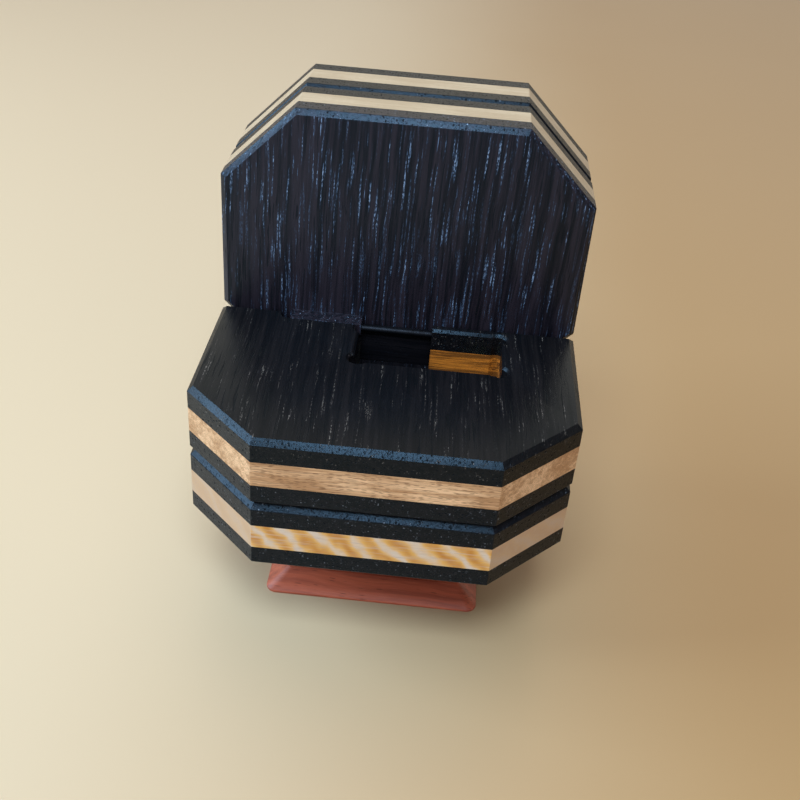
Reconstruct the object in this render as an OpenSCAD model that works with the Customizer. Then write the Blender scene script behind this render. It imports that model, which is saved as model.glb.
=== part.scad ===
// Wooden puzzle box: two half-octagon slabs of laminated wood, hinged along the
// rear top edge of the lower one, on a neck and a bevelled foot.
// Frame: +Z up, -Y towards the front, origin on the table under the middle of the
// whole box with its lid standing open at a right angle. Millimetres.

/* [Slabs] */
// Width of both slabs, side to side
slab_w = 90; // [75:0.5:110]
// Depth of both slabs, from the hinged edge to the front edge
slab_d = 56.6; // [47:0.1:70]
// Leg of the cut across each front corner
corner_cut = 17.8; // [8:0.1:21]
// Bevel along the edges of every three-ply panel
edge_bevel = 1.3; // [0.5:0.1:1.8]
// Thickness of each dark outer ply
dark_ply = 5.8; // [5.6:0.1:7.5]
// Thickness of each pale middle ply
pale_ply = 6.4; // [5.4:0.1:8]

/* [Hinge] */
// Radius of the hinge knuckles
knuckle_r = 2.1; // [1.75:0.05:2.4]
// Radius of the steel hinge pin
pin_r = 0.75; // [0.5:0.05:0.9]
// Depth of the wooden plug over each end of the pin
plug_depth = 1.8; // [1:0.1:3]
// Width of the lid's knuckle
lug_w = 18; // [10:0.5:21]
// Offset of the lid's knuckle from the middle, towards the left
lug_offset = 18; // [15.5:0.5:22]
// Wood milled away beyond the outer end of the lid's knuckle
lug_relief = 2.6; // [1.5:0.1:4]
// Width of the gap in the rear wall beside the lid's knuckle
rear_gap_w = 18; // [12:0.5:22]
// Distance from the hinge pin to the dark strip let into the back of that gap
cover_gap = 0.15; // [0.1:0.05:0.5]

/* [Pocket] */
// Length of the pocket, side to side
pocket_l = 35.8; // [32:0.1:44]
// Width of the pocket, front to back
pocket_w = 17.6; // [14:0.1:20]
// Distance from the box's middle to the pocket's middle
pocket_offset = 8.8; // [5:0.1:12]
// Radius of the cutter that clears the pocket's upright corners
pocket_r = 2.2; // [1.5:0.1:3]
// How far each cleared corner runs past the pocket's end
corner_end_reach = 1.2; // [0.4:0.1:1.4]
// How far each cleared corner runs past the pocket's long side
corner_side_reach = 0.8; // [0.3:0.1:1.2]
// Wall left behind the pocket, under the hinge
pocket_rear_wall = 3.5; // [3.3:0.1:5]
// Bevel around the pocket's rim
rim_bevel = 0.7; // [0.3:0.1:1]

/* [Secret tray] */
// Width of the tray
tray_w = 48; // [40:0.5:50]
// How far the tray slides out at the rear
tray_travel = 24; // [15:0.5:26]
// Solid wood left in front of the tray
tray_front_wood = 12.4; // [10:0.1:16]
// Thickness of the tray's side walls
tray_side = 4; // [3.8:0.1:5]
// Thickness of the tray's end walls
tray_end = 3.4; // [3:0.1:5]
// Thickness of the tray's floor
tray_floor = 1.2; // [1:0.1:2]
// Thickness of the cloth on the tray's floor
lining_t = 0.5; // [0.4:0.1:1]
// Radius of the pin that stops the tray
stop_r = 1; // [0.6:0.1:1.2]

/* [Lock plate] */
// How far the lock plate slides
lock_travel = 7; // [6:0.5:8]
// Width of the lock plate
lock_w = 12; // [11:0.5:13]
// Thickness of the lock plate
lock_t = 3; // [2.4:0.1:3.4]
// Radius of the button that moves the lock plate
button_r = 2.4; // [1.8:0.1:2.8]
// Height of the button above the pocket's floor
button_rise = 1; // [0.5:0.1:3]
// Radius of the brass peg that locks the tray
peg_r = 1.5; // [1:0.1:1.8]

/* [Magnets] */
// Radius of the disc magnets
magnet_r = 4; // [3:0.1:4.5]
// Thickness of the disc magnets
magnet_t = 3; // [2:0.1:3.2]
// Distance between the two magnets of a pair
magnet_gap = 22; // [18:0.5:24]
// Length of the sliding carrier
carrier_l = 34; // [33:0.5:36]
// Width of the sliding carrier
carrier_w = 10; // [9.5:0.1:11]
// How far the carrier slides when the box is tipped sideways
carrier_travel = 10; // [6:0.5:11]
// Wood left over the magnets, in the body and in the lid
magnet_skin = 1.8; // [1.5:0.1:1.9]

/* [Dowels] */
// Radius of the dowels that join two panels
dowel_r = 3; // [2:0.1:3.5]
// Depth of the dowels in each panel
dowel_depth = 5; // [3:0.1:5.2]

/* [Foot] */
// Width of the foot
foot_w = 54; // [44:0.5:64]
// Thickness of the foot
foot_t = 4.6; // [4:0.1:8]
// Upright band at the bottom of the foot's edge
foot_band = 0.6; // [0.3:0.1:1.5]
// How far the bevel of the foot runs in
foot_bevel = 5; // [2:0.1:6]
// Radius of the foot's plan corners
foot_corner = 2.6; // [2:0.1:8]
// Height of the neck between the foot and the body
neck_h = 19.4; // [12:0.1:30]
// Width of the neck
neck_w = 36; // [30:0.5:44]
// Depth of the neck
neck_d = 24; // [22:0.5:24]
// Bevel on the neck's upright edges
neck_bevel = 3; // [1:0.1:4]

/* [Screws] */
// Radius of the foot screws' shanks
screw_r = 1.5; // [1:0.1:1.8]
// Radius of the foot screws' heads
screw_head_r = 3; // [2.6:0.1:3.4]
// Distance of the foot screws from the neck's middle line, sideways
screw_x = 11; // [8:0.5:12]
// Distance of the foot screws from the neck's middle line, front to back
screw_y = 7; // [5:0.5:7.5]

/* [Fits] */
// Gap between the lid's face and the body, and around the lid's knuckle
part_gap = 0.3; // [0.2:0.05:0.4]
// Gap all round a piece that slides
slide_gap = 0.2; // [0.1:0.05:0.3]
// Radial clearance of the hinge pin in the lid's knuckle
run_gap = 0.05; // [0.02:0.01:0.1]
// Radial clearance of pins, dowels and magnets in the wood that holds them
press_gap = 0.01; // [0.01:0.01:0.03]

/* [Hidden] */
$fn = 48;

WENGE = [0.13, 0.11, 0.12];
PALE = [0.80, 0.62, 0.42];
GOLDEN = [0.86, 0.62, 0.28];
PADAUK = [0.55, 0.24, 0.19];
BRASS = [0.80, 0.64, 0.30];
STEEL = [0.45, 0.46, 0.49];
CLOTH = [0.45, 0.08, 0.10];

past = 1;            // how far a cut runs past the wood it opens
hull_fn = 32;

panel_t = 2 * dark_ply + pale_ply;
slab_t = 2 * panel_t;
body_z = foot_t + neck_h;
tray_ply_z = body_z + dark_ply;
divider_z = tray_ply_z + pale_ply;
floor_z = body_z + panel_t;
pocket_z = floor_z + dark_ply;
top_z = pocket_z + pale_ply;
seat_z = body_z + slab_t;

y_back = (slab_d - slab_t - part_gap) / 2;
y_front = y_back - slab_d;
pin_y = y_back - knuckle_r;
pin_z = seat_z - knuckle_r;
lid_z = seat_z + part_gap;

gap_cover_t = knuckle_r - pin_r - cover_gap;
hinge_bevel = max(edge_bevel, knuckle_r - sqrt(part_gap * (2 * knuckle_r + part_gap)) + 0.05);
lug_sweep_r = sqrt(2) * knuckle_r + part_gap / 2;
lug_left = -lug_offset - lug_w / 2;
lug_right = -lug_offset + lug_w / 2;

pocket_y = y_back - pocket_rear_wall - pocket_w / 2;
rear_reach = min(corner_side_reach, pocket_rear_wall - knuckle_r - pin_r - 0.2);

tray_h = pale_ply - 2 * slide_gap;
tray_z = tray_ply_z + slide_gap;
tray_y = y_front + tray_front_wood;
tray_l = y_back - tray_y;
stop_x = -(tray_w - tray_side) / 2;
stop_y = y_back - 6;
stop_dip = 1.4;

peg_y = tray_y + 7;
peg_x = tray_w / 2 + slide_gap + peg_r + 2.3;
peg_z = tray_z + tray_floor + lining_t + 0.4;
button_x = peg_x - 6;
button_y = pocket_y;
lock_x = (peg_x + button_x) / 2;
lock_y0 = peg_y - peg_r - 1.5;
lock_y1 = button_y + button_r + 1.5;
lock_z = floor_z - slide_gap / 2 - lock_t;
lock_bed = lock_z - slide_gap / 2;

magnet_y = y_front + 13.4;
carrier_t = magnet_t + 0.8;
carrier_z = top_z + slide_gap / 2;
carrier_bed_t = dark_ply - magnet_skin;

dowel_x = slab_w / 2 - corner_cut - 3;
dowel_y = y_front + 8.6;
lid_dowel_x = slab_w / 2 - 12;
lid_dowel_y = y_back - slab_d / 2;

foot_y = -3.5;
neck_y = min(foot_y, y_back - edge_bevel - neck_d / 2 - 0.3);
screw_sink = 0.4;
screw_head_h = 1.8;
screw_tip = body_z + dark_ply - 1.5;

// ---- shapes that several pieces share ----

// Half octagon, moved in by inset on its front and sides and by back_inset at the
// hinged edge; back_cut is the leg of the small cut across its two rear corners.
function outline(inset, back_inset, back_cut) =
    let(shrink = 2 - sqrt(2),
        w = slab_w / 2 - inset,
        f = y_front + inset,
        b = y_back - back_inset,
        c = corner_cut - shrink * inset,
        k = back_cut - shrink * inset)
    k > 0
    ? [[-w, f + c], [-w + c, f], [w - c, f], [w, f + c],
       [w, b - k], [w - k, b], [-w + k, b], [-w, b - k]]
    : [[-w, f + c], [-w + c, f], [w - c, f], [w, f + c], [w, b], [-w, b]];

module slice(z, t, inset = 0, back_inset = 0, back_cut = 0)
    translate([0, 0, z]) linear_extrude(t) polygon(outline(inset, back_inset, back_cut));

// Dark ply from z upwards, bevelled along its lower or its upper edge
module dark_slice(z, low = false, high = false, back_bevel = true, back_cut = 0)
    hull() {
        slice(z + (low ? edge_bevel : 0),
            dark_ply - (low ? edge_bevel : 0) - (high ? edge_bevel : 0), 0, 0, back_cut);
        slice(z, dark_ply, edge_bevel, back_bevel ? edge_bevel : 0, back_cut);
    }

module rod_x(x0, x1, r, y, z)
    translate([x0, y, z]) rotate([0, 90, 0]) cylinder(h = x1 - x0, r = r);

module rod_z(x, y, z0, z1, r)
    translate([x, y, z0]) cylinder(h = z1 - z0, r = r);

module block(x0, x1, y0, y1, z0, z1)
    translate([x0, y0, z0]) cube([x1 - x0, y1 - y0, z1 - z0]);

module rounded_plan(l, w, r)
    union() {
        square([l - 2 * r, w], center = true);
        square([l, w - 2 * r], center = true);
        for (sx = [-1, 1], sy = [-1, 1])
            translate([sx * (l / 2 - r), sy * (w / 2 - r)]) circle(r);
    }

// Straight slot along X for a pin of radius r that moves from x0 to x1
module slot_x(x0, x1, y, z0, z1, r) {
    for (x = [x0, x1]) rod_z(x, y, z0, z1, r);
    block(x0, x1, y - r, y + r, z0, z1);
}

module slot_y(x, y0, y1, z0, z1, r) {
    for (y = [y0, y1]) rod_z(x, y, z0, z1, r);
    block(x - r, x + r, y0, y1, z0, z1);
}

// Swings what is drawn shut, on top of the body, to the open resting position
module open_lid()
    translate([0, pin_y, pin_z]) rotate([-90, 0, 0]) translate([0, -pin_y, -pin_z]) children();

module pair_x(x) for (s = [-1, 1]) translate([s * x, 0, 0]) children();

// ---- openings in the body ----

module each_pocket_corner()
    for (sx = [-1, 1], sy = [-1, 1])
        translate([sx * (pocket_l / 2 - pocket_r + corner_end_reach),
            sy * (pocket_w / 2 - pocket_r + (sy > 0 ? rear_reach : corner_side_reach))])
            children();

module pocket_cut(z0, z1)
    translate([pocket_offset, pocket_y, z0]) linear_extrude(z1 - z0) union() {
        square([pocket_l, pocket_w], center = true);
        each_pocket_corner() circle(pocket_r);
    }

module pocket_rim_cut()
    translate([pocket_offset, pocket_y, seat_z - rim_bevel]) {
        hull() {
            linear_extrude(0.01) square([pocket_l, pocket_w], center = true);
            translate([0, 0, rim_bevel]) linear_extrude(rim_bevel)
                square([pocket_l + 2 * rim_bevel, pocket_w + 2 * rim_bevel], center = true);
        }
        each_pocket_corner()
            cylinder(h = 2 * rim_bevel, r1 = pocket_r, r2 = pocket_r + 2 * rim_bevel);
    }

module rear_gap_cut(z0, z1)
    block(-rear_gap_w / 2, rear_gap_w / 2, pocket_y, y_back + past, z0, z1);

// Slot for the lid's knuckle, with room for the knuckle's square corner to swing and a
// relief with a round corner beyond its outer end
module lug_cut() {
    x0 = lug_left - lug_relief;
    x1 = lug_right + part_gap;
    y0 = pin_y - knuckle_r - part_gap;
    z0 = pin_z - knuckle_r - part_gap;
    r = lug_relief - part_gap;
    block(x0 + r, x1, y0, y_back + past, z0, seat_z + past);
    block(x0, x0 + r, y0 + r, y_back + past, z0, seat_z + past);
    rod_z(x0 + r, y0 + r, z0, seat_z + past, r);
    intersection() {
        rod_x(lug_left - part_gap, x1, lug_sweep_r, pin_y, pin_z);
        block(x0, x1, y0 - knuckle_r, pin_y, z0, seat_z + past);
    }
}

module hinge_bevel_cut()
    translate([-slab_w, 0, 0]) rotate([90, 0, 90]) linear_extrude(2 * slab_w)
        polygon([[y_back - hinge_bevel - past, seat_z + past],
            [y_back + past, seat_z - hinge_bevel - past], [y_back + past, seat_z + past]]);

module body_dowel_cut() pair_x(dowel_x)
    rod_z(0, dowel_y, floor_z - dowel_depth, floor_z + dowel_depth, dowel_r + press_gap);

// ---- foot and neck ----

module foot_plate()
    color(PADAUK) difference() {
        hull() {
            translate([0, foot_y, 0]) linear_extrude(foot_band)
                rounded_plan(foot_w, foot_w, foot_corner, $fn = hull_fn);
            translate([0, foot_y, 0]) linear_extrude(foot_t)
                rounded_plan(foot_w - 2 * foot_bevel, foot_w - 2 * foot_bevel,
                    foot_corner / 2, $fn = hull_fn);
        }
        each_screw() {
            rod_z(0, 0, -past, foot_t + past, screw_r + run_gap);
            rod_z(0, 0, -past, screw_sink, screw_head_r + run_gap);
            translate([0, 0, screw_sink]) cylinder(h = screw_head_h,
                r1 = screw_head_r + run_gap, r2 = screw_r + run_gap);
        }
    }

module neck_plan()
    let(w = neck_w / 2, d = neck_d / 2, b = neck_bevel)
    polygon([[-w, -d + b], [-w + b, -d], [w - b, -d], [w, -d + b],
        [w, d - b], [w - b, d], [-w + b, d], [-w, d - b]]);

module neck_block()
    color(PADAUK) difference() {
        translate([0, neck_y, foot_t]) linear_extrude(neck_h) neck_plan();
        each_screw() rod_z(0, 0, 0, body_z + past, screw_r + run_gap);
    }

module each_screw()
    for (sx = [-1, 1], sy = [-1, 1]) translate([sx * screw_x, neck_y + sy * screw_y, 0])
        children();

module foot_screws()
    color(BRASS) each_screw() difference() {
        rotate_extrude() polygon([[0, screw_sink], [screw_head_r, screw_sink],
            [screw_r, screw_sink + screw_head_h], [screw_r, screw_tip - 2],
            [0, screw_tip]]);
        block(-screw_head_r, screw_head_r, -0.4, 0.4, 0, screw_sink + 0.8);
    }

// ---- body, from the bottom up ----

module body_bottom_ply()
    color(WENGE) difference() {
        dark_slice(body_z, low = true);
        each_screw() rod_z(0, 0, body_z - past, screw_tip, screw_r + press_gap);
    }

module tray_guide_ply()
    color(GOLDEN) difference() {
        slice(tray_ply_z, pale_ply);
        block(-tray_w / 2 - slide_gap, tray_w / 2 + slide_gap, tray_y - slide_gap,
            y_back + past, tray_ply_z - past, divider_z + past);
        block(tray_w / 2, peg_x + peg_r + part_gap, peg_y - peg_r - part_gap,
            peg_y + peg_r + part_gap, tray_ply_z - past, divider_z + past);
    }

module body_divider_ply()
    color(WENGE) difference() {
        dark_slice(divider_z, high = true);
        block(lock_x - lock_w / 2 - lock_travel - slide_gap, lock_x + lock_w / 2 + slide_gap,
            lock_y0 - slide_gap, lock_y1 + slide_gap, lock_bed, floor_z + past);
        slot_x(peg_x - lock_travel, peg_x, peg_y, divider_z - past, lock_bed + past,
            peg_r + part_gap);
        rod_z(stop_x, stop_y, divider_z - past, divider_z + 4, stop_r + press_gap);
        body_dowel_cut();
    }

module pocket_floor_ply()
    color(WENGE) difference() {
        dark_slice(floor_z, low = true);
        slot_x(button_x - lock_travel, button_x, button_y, floor_z - past, pocket_z + past,
            button_r + slide_gap);
        body_dowel_cut();
    }

module pocket_wall_ply()
    color(PALE) difference() {
        slice(pocket_z, pale_ply);
        pocket_cut(pocket_z - past, top_z + past);
        rear_gap_cut(pocket_z - past, top_z + past);
    }

module body_top_ply()
    color(WENGE) difference() {
        dark_slice(top_z, high = true, back_bevel = false);
        hinge_bevel_cut();
        pocket_cut(top_z - past, seat_z + past);
        pocket_rim_cut();
        rear_gap_cut(top_z - past, seat_z + past);
        lug_cut();
        rod_x(-slab_w, slab_w, pin_r + press_gap, pin_y, pin_z);
        block(-carrier_l / 2 - slide_gap, carrier_l / 2 + carrier_travel + slide_gap,
            magnet_y - carrier_w / 2 - slide_gap, magnet_y + carrier_w / 2 + slide_gap,
            top_z - past, top_z + carrier_bed_t);
    }

module gap_cover()
    color(WENGE) block(-rear_gap_w / 2, rear_gap_w / 2, y_back - gap_cover_t, y_back,
        pocket_z, pin_z);

module body_dowels()
    color(PALE) pair_x(dowel_x)
        rod_z(0, dowel_y, floor_z - dowel_depth, floor_z + dowel_depth, dowel_r);

module hinge_pin()
    color(STEEL) rod_x(-slab_w / 2 + plug_depth, slab_w / 2 - plug_depth, pin_r, pin_y, pin_z);

module pin_plugs()
    color(WENGE) {
        rod_x(-slab_w / 2, -slab_w / 2 + plug_depth, pin_r, pin_y, pin_z);
        rod_x(slab_w / 2 - plug_depth, slab_w / 2, pin_r, pin_y, pin_z);
    }

// ---- secret tray and its lock ----

module tray_stop_pin()
    color(STEEL) rod_z(stop_x, stop_y, divider_z - slide_gap - stop_dip + 0.3, divider_z + 4,
        stop_r);

module secret_tray()
    color(GOLDEN) difference() {
        block(-tray_w / 2, tray_w / 2, tray_y, y_back, tray_z, tray_z + tray_h);
        translate([0, tray_y + tray_l / 2, tray_z + tray_floor])
            linear_extrude(tray_h) rounded_plan(tray_w - 2 * tray_side,
                tray_l - 2 * tray_end, 2);
        slot_x(peg_x - lock_travel, tray_w / 2 + peg_r + past, peg_y, peg_z - part_gap,
            divider_z, peg_r + part_gap);
        slot_y(stop_x, stop_y - tray_travel, stop_y, tray_z + tray_h - stop_dip,
            divider_z, stop_r + slide_gap);
    }

module tray_lining()
    color(CLOTH) translate([0, tray_y + tray_l / 2, tray_z + tray_floor])
        linear_extrude(lining_t) rounded_plan(tray_w - 2 * tray_side - 2 * slide_gap,
            tray_l - 2 * tray_end - 2 * slide_gap, 2);

module lock_plate()
    color(PALE) difference() {
        block(lock_x - lock_w / 2, lock_x + lock_w / 2, lock_y0, lock_y1, lock_z,
            lock_z + lock_t);
        rod_z(peg_x, peg_y, lock_z - past, lock_z + lock_t + past, peg_r + press_gap);
    }

module lock_button()
    color(BRASS) rod_z(button_x, button_y, lock_z + lock_t, pocket_z + button_rise, button_r);

module lock_peg()
    color(BRASS) rod_z(peg_x, peg_y, peg_z, lock_z + lock_t, peg_r);

// ---- magnets ----

module magnet_carrier()
    color(PALE) difference() {
        block(-carrier_l / 2, carrier_l / 2, magnet_y - carrier_w / 2,
            magnet_y + carrier_w / 2, carrier_z, carrier_z + carrier_t);
        pair_x(magnet_gap / 2) rod_z(0, magnet_y, carrier_z + carrier_t - magnet_t,
            carrier_z + carrier_t + past, magnet_r + press_gap);
    }

module carrier_magnets()
    color(STEEL) pair_x(magnet_gap / 2) rod_z(0, magnet_y, carrier_z + carrier_t - magnet_t,
        carrier_z + carrier_t, magnet_r);

module lid_magnets()
    color(STEEL) open_lid() pair_x(magnet_gap / 2)
        rod_z(0, magnet_y, lid_z + magnet_skin, lid_z + magnet_skin + magnet_t, magnet_r);

// ---- lid, drawn shut from its face upwards and then swung open ----

module lid_dark(index, low = false, high = false)
    dark_slice(lid_z + index * panel_t + (high ? panel_t - dark_ply : 0), low, high, true,
        2 * knuckle_r);

module lid_dowel_cut() pair_x(lid_dowel_x)
    rod_z(0, lid_dowel_y, lid_z + panel_t - dowel_depth, lid_z + panel_t + dowel_depth,
        dowel_r + press_gap);

module lid_face_ply()
    color(WENGE) open_lid() difference() {
        union() {
            lid_dark(0, low = true);
            block(lug_left, lug_right, pin_y - knuckle_r, pin_y + knuckle_r, pin_z,
                lid_z + edge_bevel + 0.5);
            rod_x(lug_left, lug_right, knuckle_r, pin_y, pin_z);
            block(lug_left, lug_right, pin_y - knuckle_r, pin_y, pin_z - knuckle_r, pin_z);
        }
        rod_x(lug_left - past, lug_right + past, pin_r + run_gap, pin_y, pin_z);
        pair_x(magnet_gap / 2) rod_z(0, magnet_y, lid_z + magnet_skin,
            lid_z + dark_ply + past, magnet_r + press_gap);
    }

module lid_front_core()
    color(PALE) open_lid() slice(lid_z + dark_ply, pale_ply, 0, 0, 2 * knuckle_r);

module lid_front_back_ply()
    color(WENGE) open_lid() difference() {
        lid_dark(0, high = true);
        lid_dowel_cut();
    }

module lid_rear_face_ply()
    color(WENGE) open_lid() difference() {
        lid_dark(1, low = true);
        lid_dowel_cut();
    }

module lid_rear_core()
    color(PALE) open_lid() slice(lid_z + panel_t + dark_ply, pale_ply, 0, 0, 2 * knuckle_r);

module lid_back_ply()
    color(WENGE) open_lid() lid_dark(1, high = true);

module lid_dowels()
    color(PALE) open_lid() pair_x(lid_dowel_x)
        rod_z(0, lid_dowel_y, lid_z + panel_t - dowel_depth, lid_z + panel_t + dowel_depth,
            dowel_r);

foot_plate();
neck_block();
foot_screws();
body_bottom_ply();
tray_guide_ply();
body_divider_ply();
pocket_floor_ply();
pocket_wall_ply();
body_top_ply();
gap_cover();
body_dowels();
hinge_pin();
pin_plugs();
tray_stop_pin();
secret_tray();
tray_lining();
lock_plate();
lock_button();
lock_peg();
magnet_carrier();
carrier_magnets();
lid_face_ply();
lid_front_core();
lid_front_back_ply();
lid_rear_face_ply();
lid_rear_core();
lid_back_ply();
lid_dowels();
lid_magnets();
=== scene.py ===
"""Looks of a laminated wooden puzzle box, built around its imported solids.

Each sub-assembly of the box is a class that builds and dresses its own pieces, and each
finish is a frozen dataclass that writes its own node material. Lengths are in metres.
"""

from __future__ import annotations

import logging
import math
from dataclasses import dataclass, field
from enum import Enum
from typing import Iterable, Mapping, Sequence, Union

import bmesh
import bpy
from mathutils import Euler, Matrix, Vector

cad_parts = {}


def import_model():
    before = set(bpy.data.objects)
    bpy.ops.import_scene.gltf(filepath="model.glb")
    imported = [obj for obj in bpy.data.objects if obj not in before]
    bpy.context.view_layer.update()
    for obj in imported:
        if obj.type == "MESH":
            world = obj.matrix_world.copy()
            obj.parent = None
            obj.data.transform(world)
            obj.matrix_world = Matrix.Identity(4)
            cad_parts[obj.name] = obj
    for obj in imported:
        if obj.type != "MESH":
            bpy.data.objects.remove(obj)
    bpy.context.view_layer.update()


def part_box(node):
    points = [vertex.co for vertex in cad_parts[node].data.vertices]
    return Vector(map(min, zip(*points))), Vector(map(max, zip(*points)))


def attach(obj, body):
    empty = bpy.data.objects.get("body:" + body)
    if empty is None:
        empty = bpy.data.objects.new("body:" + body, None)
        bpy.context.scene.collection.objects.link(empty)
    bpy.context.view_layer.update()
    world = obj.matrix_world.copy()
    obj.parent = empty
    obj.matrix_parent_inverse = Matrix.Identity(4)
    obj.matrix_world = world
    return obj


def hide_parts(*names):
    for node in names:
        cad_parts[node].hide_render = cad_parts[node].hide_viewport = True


log = logging.getLogger("puzzle_box")

MM = 0.001
Colour = tuple[float, float, float]


# ---------------------------------------------------------------- shader maths


class Signal:
    """An output socket whose operators add the Math nodes that work them out."""

    def __init__(self, graph: Graph, socket: bpy.types.NodeSocket) -> None:
        """Wraps a socket.

        Args:
            graph: The graph that new nodes are added to.
            socket: The output socket to wrap.
        """
        self.graph = graph
        self.socket = socket

    def _math(self, operation: str, *operands: Operand) -> Signal:
        """Adds one Math node on these operands and returns its output."""
        return self.graph.node(
            "ShaderNodeMath", {"operation": operation}, dict(enumerate(operands))
        )

    def __add__(self, other: Operand) -> Signal:
        """Returns self + other."""
        return self._math("ADD", self, other)

    def __sub__(self, other: Operand) -> Signal:
        """Returns self - other."""
        return self._math("SUBTRACT", self, other)

    def __rsub__(self, other: Operand) -> Signal:
        """Returns other - self."""
        return self._math("SUBTRACT", other, self)

    def __mul__(self, other: Operand) -> Signal:
        """Returns self * other."""
        return self._math("MULTIPLY", self, other)

    __radd__ = __add__
    __rmul__ = __mul__

    def sine(self) -> Signal:
        """Returns the sine of self, in radians."""
        return self._math("SINE", self)

    def step(self, low: float, high: float) -> Signal:
        """Returns 0 below low and 1 above high, smooth between them; low may be the larger."""
        if low > high:
            return 1.0 - self.step(high, low)
        return self.graph.node(
            "ShaderNodeMapRange",
            {"interpolation_type": "SMOOTHSTEP"},
            {0: self, 1: low, 2: high, 3: 0.0, 4: 1.0},
        )


Operand = Union[Signal, float, int]
Value = Union[Signal, float, int, Sequence[float]]


class Graph:
    """The node tree of a material or a world, with one method that adds any node."""

    def __init__(self, owner: Union[bpy.types.Material, bpy.types.World]) -> None:
        """Empties the tree of a material or a world.

        Args:
            owner: The data block that owns the tree.
        """
        owner.use_nodes = True
        self.owner = owner
        self.tree = owner.node_tree
        self.tree.nodes.clear()

    @classmethod
    def of(cls, name: str) -> Graph:
        """Returns the graph of a new material with this name."""
        return cls(bpy.data.materials.new(name))

    def node(
        self,
        kind: str,
        settings: Mapping[str, object] | None = None,
        values: Mapping[Union[int, str], Value] | None = None,
        output: Union[int, str] = 0,
    ) -> Signal:
        """Adds a node.

        Args:
            kind: The node's type.
            settings: Properties to set first; "stops" holds a ramp's (place, colour) pairs.
            values: Value or link for each input, by its name or number.
            output: The output to return, by its name or number.

        Returns:
            The chosen output.
        """
        made = self.tree.nodes.new(kind)
        for key, setting in (settings or {}).items():
            if key == "stops":
                self._set_stops(made, setting)
            else:
                setattr(made, key, setting)
        for key, value in (values or {}).items():
            if isinstance(value, Signal):
                self.tree.links.new(value.socket, made.inputs[key])
            else:
                made.inputs[key].default_value = value
        return Signal(self, made.outputs[output])

    @staticmethod
    def _set_stops(ramp: bpy.types.Node, stops: Sequence[tuple[float, Colour]]) -> None:
        """Gives a Color Ramp node its stops."""
        elements = ramp.color_ramp.elements
        while len(elements) < len(stops):
            elements.new(1.0)
        for element, (place, colour) in zip(elements, stops):
            element.position = place
            element.color = (*colour, 1.0)

    def ramp(self, factor: Signal, stops: Sequence[tuple[float, Colour]]) -> Signal:
        """Returns the colour that a ramp of stops gives for factor."""
        return self.node("ShaderNodeValToRGB", {"stops": stops}, {0: factor})

    def mix(self, factor: Operand, first: Value, second: Value) -> Signal:
        """Returns the colour that lies factor of the way from first to second."""
        first = first if isinstance(first, Signal) else (*first, 1.0)
        second = second if isinstance(second, Signal) else (*second, 1.0)
        return self.node(
            "ShaderNodeMix", {"data_type": "RGBA"}, {0: factor, 6: first, 7: second}, 2
        )

    def vector(self, operation: str, first: Value, second: Value) -> Signal:
        """Returns the result of a Vector Math node on two vectors."""
        return self.node("ShaderNodeVectorMath", {"operation": operation}, {0: first, 1: second})

    def split(self, vector: Signal) -> tuple[Signal, Signal, Signal]:
        """Returns the X, Y and Z of a vector."""
        made = self.tree.nodes.new("ShaderNodeSeparateXYZ")
        self.tree.links.new(vector.socket, made.inputs[0])
        return tuple(Signal(self, made.outputs[i]) for i in range(3))

    def millimetres(self, shift: Colour = (0.0, 0.0, 0.0), turn: Colour = (0.0, 0.0, 0.0)) -> Signal:
        """Returns object coordinates in millimetres.

        Args:
            shift: Offset in millimetres, so that two pieces don't share a pattern.
            turn: Small turn in degrees, so that the grain isn't dead straight.

        Returns:
            The coordinates as a vector.
        """
        place = self.node("ShaderNodeTexCoord", output="Object")
        return self.node(
            "ShaderNodeMapping",
            {"vector_type": "POINT"},
            {
                "Vector": place,
                "Location": shift,
                "Rotation": [math.radians(a) for a in turn],
                "Scale": (1 / MM, 1 / MM, 1 / MM),
            },
        )

    def noise(self, at: Signal, scale: Colour, detail: float = 3.0, rough: float = 0.55) -> Signal:
        """Returns 3-D noise at coordinates multiplied by scale, axis by axis."""
        return self.node(
            "ShaderNodeTexNoise",
            {"noise_dimensions": "3D"},
            {
                "Vector": self.vector("MULTIPLY", at, scale),
                "Scale": 1.0,
                "Detail": detail,
                "Roughness": rough,
            },
        )

    def wander(self, at: Signal, scale: Colour, reach: float) -> Signal:
        """Returns coordinates that slow noise of this scale moves by up to reach millimetres."""
        sway = self.noise(at, scale, 2.0)
        return self.vector("ADD", at, self.vector("MULTIPLY", sway, (reach, reach, reach)))

    def cells(self, at: Signal, scale: Colour) -> tuple[Signal, Signal]:
        """Returns each cell's distance from its middle and a random value that it keeps."""
        made = self.tree.nodes.new("ShaderNodeTexVoronoi")
        made.inputs["Scale"].default_value = 1.0
        at = self.vector("MULTIPLY", at, scale)
        self.tree.links.new(at.socket, made.inputs["Vector"])
        chance, _, _ = self.split(Signal(self, made.outputs["Color"]))
        return Signal(self, made.outputs["Distance"]), chance

    def bump(self, height: Signal, depth: float, strength: float = 1.0) -> Signal:
        """Returns a normal that height, from 0 to 1 over depth metres, tilts."""
        return self.node(
            "ShaderNodeBump", None, {"Height": height, "Distance": depth, "Strength": strength}
        )

    def surface(self, values: Mapping[str, Value]) -> bpy.types.Material:
        """Ends the material in a Principled shader with these inputs and returns it."""
        shader = self.node("ShaderNodeBsdfPrincipled", None, values)
        self.end("ShaderNodeOutputMaterial", shader)
        return self.owner

    def end(self, kind: str, shader: Signal) -> None:
        """Links a shader to a new output node."""
        output = self.tree.nodes.new(kind)
        self.tree.links.new(shader.socket, output.inputs["Surface"])

    def cut(self, grain: Grain) -> Signal:
        """Returns 0 where a face lies along the fibres and 1 where it cuts across them."""
        normal = self.node("ShaderNodeTexCoord", output="Normal")
        along = self.split(normal)[grain.value]
        return along * along


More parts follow.
